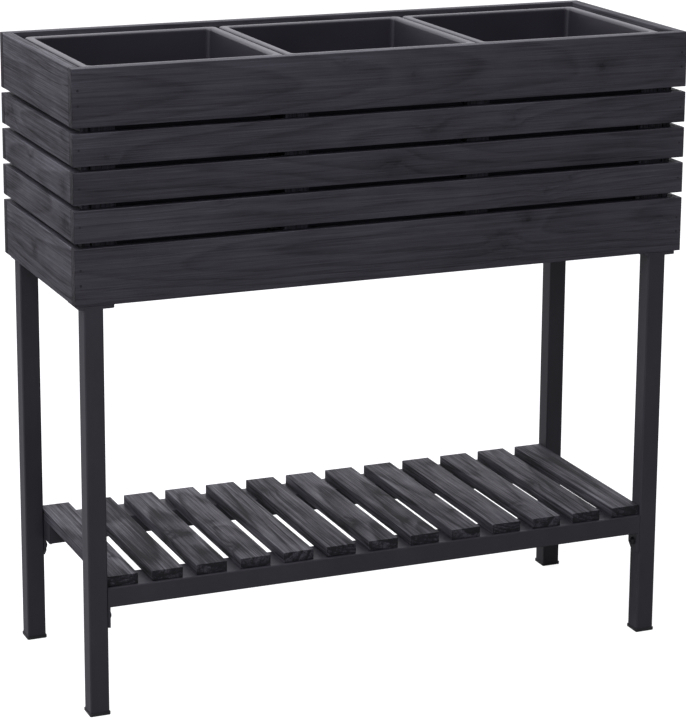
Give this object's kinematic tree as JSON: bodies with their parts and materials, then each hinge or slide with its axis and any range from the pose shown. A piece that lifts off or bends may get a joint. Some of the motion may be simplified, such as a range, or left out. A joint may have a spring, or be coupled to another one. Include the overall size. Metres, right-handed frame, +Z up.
{
  "type": "raised planter on legs",
  "caption": "Slatted wooden planter box with drop-in square pots, raised on square steel legs with a slatted lower shelf.",
  "frame": {"origin": "middle of the footprint, on the floor under the feet", "axes": "+X along the front to the right, +Y to the back, +Z up"},
  "size_m": [0.8, 0.301, 0.79],
  "materials": {
    "stained_wood": "black stained softwood, matte, grain and knots visible",
    "black_steel": "black powder coat, satin",
    "pot_plastic": "black moulded plastic, satin",
    "foot_plastic": "black plastic, matte",
    "dark_fixings": "blackened steel"
  },
  "bodies": {
    "planter": {"bearer_left": "stained_wood", "bearer_middle_left": "stained_wood", "bearer_middle_right": "stained_wood", "bearer_right": "stained_wood", "board_nails": "dark_fixings", "foot_cap_front_left": "foot_plastic", "foot_cap_front_right": "foot_plastic", "foot_cap_rear_left": "foot_plastic", "foot_cap_rear_right": "foot_plastic", "front_battens": "stained_wood", "front_board_1": "stained_wood", "front_board_2": "stained_wood", "front_board_3": "stained_wood", "front_board_4": "stained_wood", "front_board_5": "stained_wood", "left_board_1": "stained_wood", "left_board_2": "stained_wood", "left_board_3": "stained_wood", "left_board_4": "stained_wood", "left_board_5": "stained_wood", "leg_front_left": "black_steel", "leg_front_right": "black_steel", "leg_plate_front_left": "black_steel", "leg_plate_front_right": "black_steel", "leg_plate_rear_left": "black_steel", "leg_plate_rear_right": "black_steel", "leg_rear_left": "black_steel", "leg_rear_right": "black_steel", "plate_screws": "dark_fixings", "rear_battens": "stained_wood", "rear_board_1": "stained_wood", "rear_board_2": "stained_wood", "rear_board_3": "stained_wood", "rear_board_4": "stained_wood", "rear_board_5": "stained_wood", "right_board_1": "stained_wood", "right_board_2": "stained_wood", "right_board_3": "stained_wood", "right_board_4": "stained_wood", "right_board_5": "stained_wood", "shelf_bolts": "dark_fixings", "shelf_rail_front": "black_steel", "shelf_rail_rear": "black_steel", "shelf_slat_01": "stained_wood", "shelf_slat_02": "stained_wood", "shelf_slat_03": "stained_wood", "shelf_slat_04": "stained_wood", "shelf_slat_05": "stained_wood", "shelf_slat_06": "stained_wood", "shelf_slat_07": "stained_wood", "shelf_slat_08": "stained_wood", "shelf_slat_09": "stained_wood", "shelf_slat_10": "stained_wood", "shelf_slat_11": "stained_wood", "shelf_slat_12": "stained_wood", "shelf_slat_13": "stained_wood", "side_battens": "stained_wood"},
    "left_pot": {"pot_left": "pot_plastic"},
    "middle_pot": {"pot_middle": "pot_plastic"},
    "right_pot": {"pot_right": "pot_plastic"}
  },
  "joints": [
    {"name": "left_pot_lift", "type": "slide", "parent": "planter", "child": "left_pot", "axis": [0, 0, 1], "range_m": [0, 0.24]},
    {"name": "middle_pot_lift", "type": "slide", "parent": "planter", "child": "middle_pot", "axis": [0, 0, 1], "range_m": [0, 0.24]},
    {"name": "right_pot_lift", "type": "slide", "parent": "planter", "child": "right_pot", "axis": [0, 0, 1], "range_m": [0, 0.24]}
  ]
}
